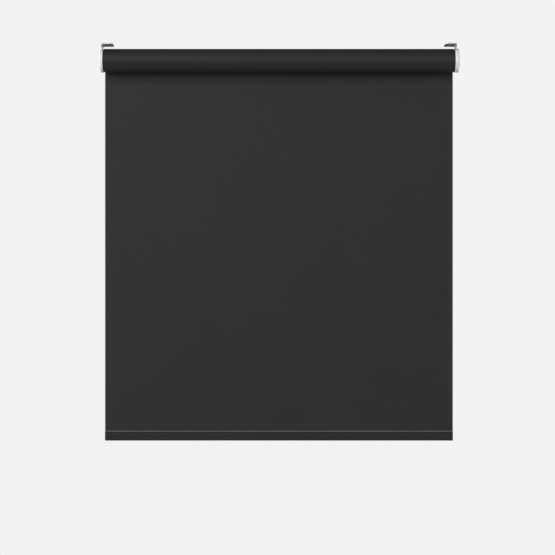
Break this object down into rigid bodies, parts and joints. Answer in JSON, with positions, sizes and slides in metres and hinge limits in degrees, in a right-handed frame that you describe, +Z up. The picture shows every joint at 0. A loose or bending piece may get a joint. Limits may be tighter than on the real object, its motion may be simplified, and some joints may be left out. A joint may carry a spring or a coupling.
{
  "type": "roller blind",
  "caption": "Cordless spring roller blind: charcoal cloth wound on a tube between head-fixed brackets with white domed covers, with a weighted hem.",
  "frame": {"origin": "midway between the two brackets, in the plane of their top faces, straight above the roller's axis", "axes": "+X along the roller to the idle end, +Y towards the window, +Z up to the head of the recess"},
  "size_m": [0.6184, 0.0431, 0.6815],
  "materials": {
    "charcoal_cloth": "matte coated blackout cloth",
    "white_plastic": "moulded, satin gloss",
    "zinc_steel": "zinc plated",
    "spring_steel": "oiled spring steel",
    "aluminium": "mill finish extrusion",
    "black_plastic": "moulded, matt",
    "grey_plastic": "moulded, matt"
  },
  "bodies": {
    "root": {"left_bracket": "zinc_steel", "right_bracket": "zinc_steel", "left_bracket_cover": "white_plastic", "right_bracket_cover": "white_plastic", "idle_pin_bush": "white_plastic", "spring_shaft": "zinc_steel", "shaft_circlip": "spring_steel", "ratchet_wheel": "spring_steel", "spring_collar": "zinc_steel", "collar_grub_screw": "spring_steel", "torsion_spring": "spring_steel", "fabric_drop": "charcoal_cloth"},
    "roller": {"roller_tube": "aluminium", "fabric_fixing_strip": "black_plastic", "fabric_roll": "charcoal_cloth", "spring_end_plug": "grey_plastic", "ratchet_cover": "grey_plastic", "upper_pawl_pin": "spring_steel", "lower_pawl_pin": "spring_steel", "spring_anchor_plug": "grey_plastic", "idle_end_plug": "grey_plastic", "idle_spring_seat": "grey_plastic", "idle_spring": "spring_steel"},
    "upper_pawl": {"upper_pawl": "spring_steel"},
    "lower_pawl": {"lower_pawl": "spring_steel"},
    "idle_pin": {"idle_pin": "zinc_steel"},
    "hem": {"hem_pocket": "charcoal_cloth", "bottom_bar": "aluminium", "left_bar_end_cap": "black_plastic", "right_bar_end_cap": "black_plastic"}
  },
  "joints": [
    {"name": "roller_turn", "type": "hinge", "parent": "root", "child": "roller", "pos_m": [0, 0, -0.028], "axis": [1, 0, 0], "range_deg": [-420, 1680], "deforming": ["torsion_spring"]},
    {"name": "hem_lift", "type": "slide", "parent": "root", "child": "hem", "axis": [0, 0, 1], "range_m": [-0.15, 0.599], "deforming": ["fabric_drop"]},
    {"name": "upper_pawl_swing", "type": "hinge", "parent": "roller", "child": "upper_pawl", "pos_m": [-0.2946, 0, -0.0165], "axis": [1, 0, 0], "range_deg": [0, 16]},
    {"name": "lower_pawl_swing", "type": "hinge", "parent": "roller", "child": "lower_pawl", "pos_m": [-0.2946, 0, -0.0395], "axis": [1, 0, 0], "range_deg": [0, 16]},
    {"name": "idle_pin_slide", "type": "slide", "parent": "roller", "child": "idle_pin", "axis": [1, 0, 0], "range_m": [-0.005, 0], "stiffness_N_per_m": 500, "springref_m": 0.008, "deforming": ["idle_spring"]}
  ],
  "couplings": [
    {"joint": "hem_lift", "follows": "roller_turn", "m_per_rad": 0.0204}
  ]
}
